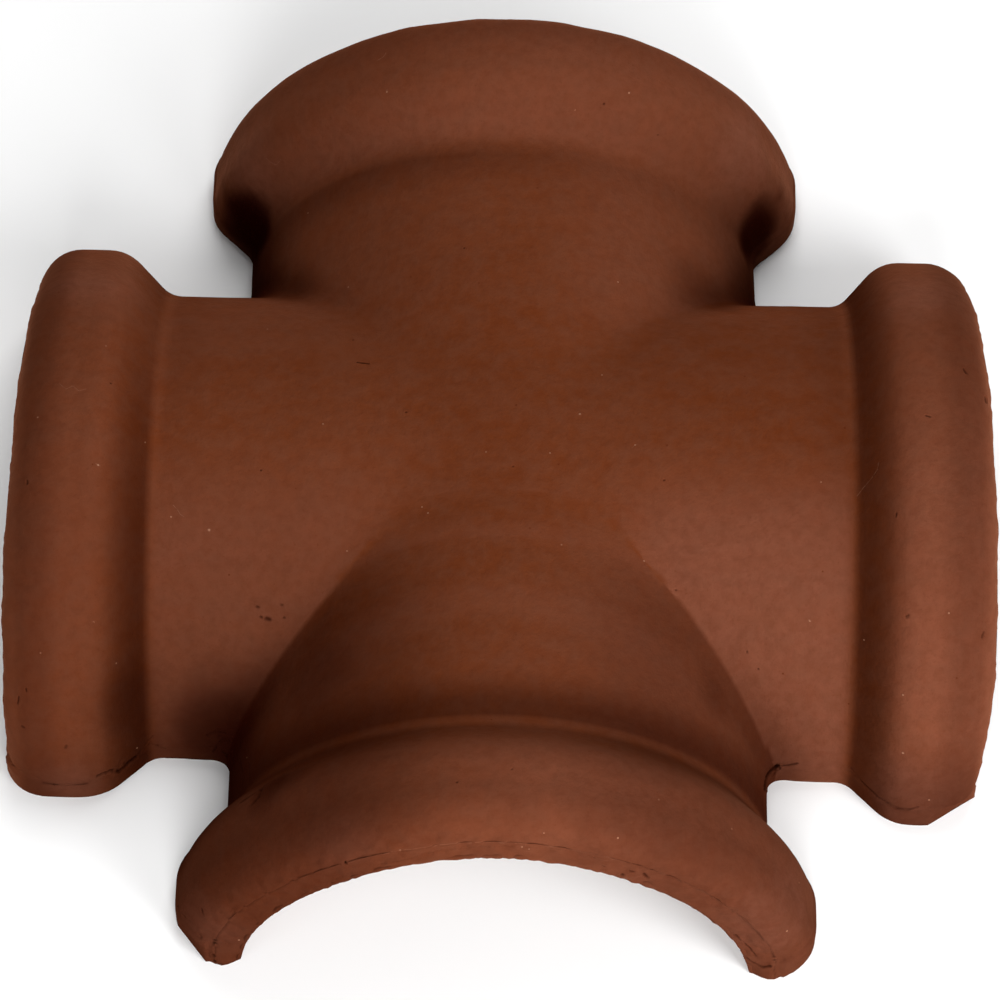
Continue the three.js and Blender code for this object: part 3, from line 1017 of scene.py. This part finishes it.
# Noises of the slip: scale, detail, roughness, and for some their stretch and turn, and then the two
# values between which each comes to show
NOISES = {
    "clouds": ((14, 4, 0.55), (0.35, 0.68)),
    "mottle": ((110, 5, 0.65), (0.38, 0.64)),
    "blotches": ((230, 4, 0.6), (0.40, 0.66)),
    "streaks": ((90, 4, 0.6, (0.15, 1, 1), (0, 0, 0.1)), (0.42, 0.70)),
    "grain": ((900, 3, 0.6), (0.60, 0.78)),
}
# Strokes of wiping around a centre, in metres
TONGUE_CENTRE = (0.0, -0.12, 0.0)
ARC_SCALE = 130
ARC_RANGE = (0.45, 0.72)
# Scale, radius and rarity of the small dots
DARK_DOTS = (95, 0.05, 0.55)
PALE_DOTS = (70, 0.035, 0.7)
PALE_MARK_RANGE = (0.15, 0.8)
MARK_PAINTED_SHADE_RANGE = (-0.1, -0.9)
# Coats over the slip, with painted light and painted shade among them, from first to last: what shows each,
# how much of it shows, and its colour
COATS_AND_PAINTED_LIGHT = (
    ("clouds", 0.45, SLIP_WORN),
    # Painted light, as paler slip
    ("painted_light", 0.8, SLIP_THIN_AND_PAINTED_LIGHT),
    ("mottle", 0.42, SLIP_GREYED),
    ("blotches", 0.22, SLIP_SHADED),
    ("streaks", 0.26, SLIP_WORN),
    ("arcs", 0.14, SLIP_THIN_AND_PAINTED_LIGHT),
    # Painted shade in the hollows
    ("hollow", 1.0, SLIP_PAINTED_SHADE),
    ("underside", 0.8, RAW_CLAY),
    ("grain", 0.35, SLIP_SHADED),
    ("dark_dots", 0.7, SLIP_SHADED),
    ("pale_dots", 0.45, SPECK_PALE),
    ("pale_mark", 1.0, SPECK_PALE),
    # Painted shade in pits and creases
    ("mark_painted_shade", 1.0, PIT_PAINTED_SHADE_COLOUR),
)
# Depth in metres and strength of each bump
GRAIN_BUMP = (0.00025, 0.5)
PORE_BUMP = (0.0002, 0.25)
MOTTLE_BUMP = (0.0006, 0.35)
PORE_SCALE = 420


def clay_material():
    """Brown slip, wiped on by hand over fired clay, with paler slip painted as light where the tile is lit
    most and dark slip painted as shade in its hollows, pits and creases.
    """
    material = bpy.data.materials.new("slipped_clay")
    nodes = Nodes(material)
    noises = {name: nodes.noise(*settings) for name, (settings, _) in NOISES.items()}
    shows = {name: nodes.ranged(noises[name], *span) for name, (_, span) in NOISES.items()}
    for name in ("painted_light", "hollow", "underside"):
        shows[name] = nodes.attribute(name)
    arcs = nodes.ranged(nodes.rings(TONGUE_CENTRE, ARC_SCALE), *ARC_RANGE)
    shows["arcs"] = nodes.math("MULTIPLY", arcs, nodes.attribute("tongue"))
    shows["dark_dots"] = nodes.dots(*DARK_DOTS)
    shows["pale_dots"] = nodes.dots(*PALE_DOTS)
    shows["pale_mark"] = nodes.ranged(nodes.attribute("mark"), *PALE_MARK_RANGE)
    shows["mark_painted_shade"] = nodes.ranged(nodes.attribute("mark"), *MARK_PAINTED_SHADE_RANGE)

    colour = SLIP
    for name, share, layer_colour in COATS_AND_PAINTED_LIGHT:
        colour = nodes.mix(nodes.math("MULTIPLY", shows[name], share), colour, layer_colour)
    nodes.link(colour, nodes.shader.inputs["Base Color"])

    nodes.shader.inputs["Roughness"].default_value = ROUGHNESS
    nodes.shader.inputs["Specular IOR Level"].default_value = SPECULAR
    sheen = nodes.ranged(shows["hollow"], 0, SHEEN_GONE, SHEEN, 0)
    nodes.link(sheen, nodes.shader.inputs["Sheen Weight"])
    nodes.shader.inputs["Sheen Roughness"].default_value = SHEEN_ROUGHNESS
    nodes.shader.inputs["Sheen Tint"].default_value = SHEEN_TINT
    fine = nodes.bump(noises["grain"], *GRAIN_BUMP)
    pores = nodes.bump(nodes.cells(PORE_SCALE), *PORE_BUMP, fine)
    nodes.link(nodes.bump(shows["mottle"], *MOTTLE_BUMP, pores), nodes.shader.inputs["Normal"])
    return material


# Camera, from the outline in the photograph
VIEW_ELEVATION = math.radians(57.32)
VIEW_YAW = math.radians(0.42)
VIEW_ROLL = math.radians(0.60)
VIEW_DISTANCE = 2.1266
VIEW_RIGHT = -0.00132
VIEW_UP = 0.01952
VIEW_LENS = 170.68
SENSOR_WIDTH = 36.0
FRAME_SIZE = 1000
MM_PER_PIXEL = 0.45


def make_camera():
    right = Vector((math.cos(VIEW_YAW), math.sin(VIEW_YAW), 0))
    level = Vector((-math.sin(VIEW_YAW), math.cos(VIEW_YAW), 0))
    towards = Vector((0, 0, math.sin(VIEW_ELEVATION))) - level * math.cos(VIEW_ELEVATION)
    up = towards.cross(right)
    camera_right = right * math.cos(VIEW_ROLL) + up * math.sin(VIEW_ROLL)
    camera_up = towards.cross(camera_right)
    turned = Matrix((camera_right, camera_up, towards)).transposed()
    place = right * VIEW_RIGHT + up * VIEW_UP + towards * VIEW_DISTANCE
    data = bpy.data.cameras.new("camera")
    data.lens = VIEW_LENS
    data.sensor_width = SENSOR_WIDTH
    camera = bpy.data.objects.new("camera", data)
    camera.matrix_world = Matrix.Translation(place) @ turned.to_4x4()
    bpy.context.scene.collection.objects.link(camera)
    bpy.context.scene.camera = camera


LIGHTS = (
    # name, azimuth from +X in degrees, elevation in degrees, distance, width, watts
    ("front", -90, 35, 1.6, 0.7, 18.2),
    ("low_right", -45, 12, 1.6, 0.7, 19.2),
    ("key_right", -45, 35, 1.6, 0.7, 9.9),
    ("low_left", -135, 12, 1.6, 0.7, 6.0),
    ("high_back", 80, 60, 1.6, 1.0, 13.6),
    ("low_back", 85, 12, 1.6, 1.6, 17.0),
)


def make_light(name, azimuth, elevation, distance, width, watts):
    data = bpy.data.lights.new(name, "AREA")
    data.shape = "SQUARE"
    data.size = width
    data.energy = watts
    turn, lift = math.radians(azimuth), math.radians(elevation)
    towards = Vector((math.cos(turn) * math.cos(lift), math.sin(turn) * math.cos(lift), math.sin(lift)))
    light = bpy.data.objects.new(name, data)
    light.location = towards * distance
    light.rotation_euler = towards.to_track_quat("Z", "Y").to_euler()
    bpy.context.scene.collection.objects.link(light)


FLOOR_SIZE = 8.0
FLOOR_GREY = 0.9
FLOOR_ROUGHNESS = 0.9


def make_floor():
    bm = bmesh.new()
    bmesh.ops.create_grid(bm, x_segments=1, y_segments=1, size=FLOOR_SIZE / 2)
    mesh = bpy.data.meshes.new("floor")
    bm.to_mesh(mesh)
    bm.free()
    floor = bpy.data.objects.new("floor", mesh)
    material = bpy.data.materials.new("floor_paint")
    material.use_nodes = True
    shader = material.node_tree.nodes["Principled BSDF"]
    shader.inputs["Base Color"].default_value = (FLOOR_GREY, FLOOR_GREY, FLOOR_GREY, 1)
    shader.inputs["Roughness"].default_value = FLOOR_ROUGHNESS
    mesh.materials.append(material)
    bpy.context.scene.collection.objects.link(floor)


SKY_GREY = 0.08


def make_world():
    world = bpy.data.worlds.new("studio")
    world.use_nodes = True
    world.node_tree.nodes["Background"].inputs["Color"].default_value = (SKY_GREY, SKY_GREY, SKY_GREY, 1)
    bpy.context.scene.world = world


make_camera()
tile = make_tile()
tile.data.materials.append(clay_material())
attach(tile, "root")
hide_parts(NODE)

make_floor()
make_world()
for light in LIGHTS:
    make_light(*light)
bpy.context.scene.view_settings.view_transform = "Standard"
